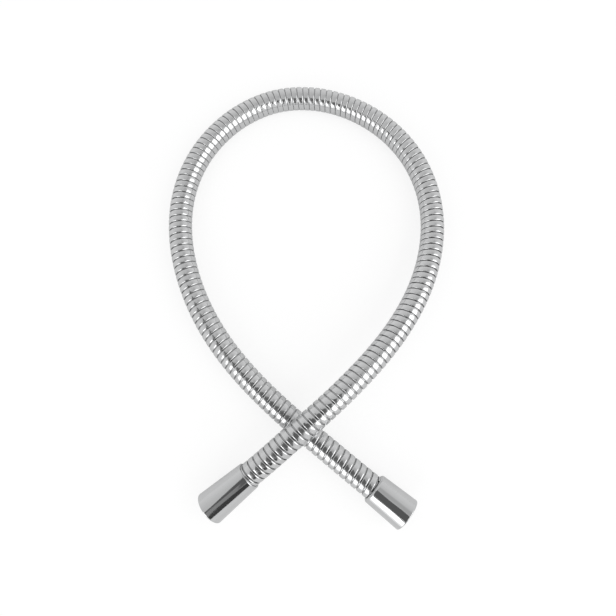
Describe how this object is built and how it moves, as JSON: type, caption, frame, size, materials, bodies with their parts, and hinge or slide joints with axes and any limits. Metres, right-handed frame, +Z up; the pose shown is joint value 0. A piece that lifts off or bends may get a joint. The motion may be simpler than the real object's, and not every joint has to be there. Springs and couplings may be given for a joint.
{
  "type": "shower hose",
  "caption": "Flexible metal shower hose lying in one open loop that crosses itself, with a conical swivel nut on each end.",
  "frame": {"origin": "on the floor, under the middle of the outline of the whole hose as it lies", "axes": "+Z up from the floor, +Y along the loop from the two ends towards its far bend, +X to the right, with the short nut on the +X side"},
  "size_m": [0.2112, 0.336, 0.0372],
  "materials": {
    "strip_steel": "polished steel strip",
    "nut_chrome": "bright chrome plate",
    "tail_brass": "turned",
    "washer_rubber": "moulded",
    "acetal": "moulded",
    "liner_polymer": "extruded"
  },
  "bodies": {
    "hose_body": {"hose_casing": "strip_steel", "liner_tube": "liner_polymer", "long_tail": "tail_brass", "long_slip_ring": "acetal", "long_sleeve": "tail_brass", "short_tail": "tail_brass", "short_slip_ring": "acetal", "short_sleeve": "tail_brass"},
    "long_swivel": {"long_nut": "nut_chrome", "long_washer": "washer_rubber"},
    "short_swivel": {"short_nut": "nut_chrome", "short_washer": "washer_rubber"}
  },
  "joints": [
    {"name": "long_nut_spin", "type": "hinge", "parent": "hose_body", "child": "long_swivel", "pos_m": [-0.0662, -0.1545, 0.01156], "axis": [-0.7564, -0.6257, -0.1908], "continuous": true},
    {"name": "short_nut_spin", "type": "hinge", "parent": "hose_body", "child": "short_swivel", "pos_m": [0.0697, -0.1589, 0.01186], "axis": [0.7864, -0.6166, 0.0382], "continuous": true}
  ]
}
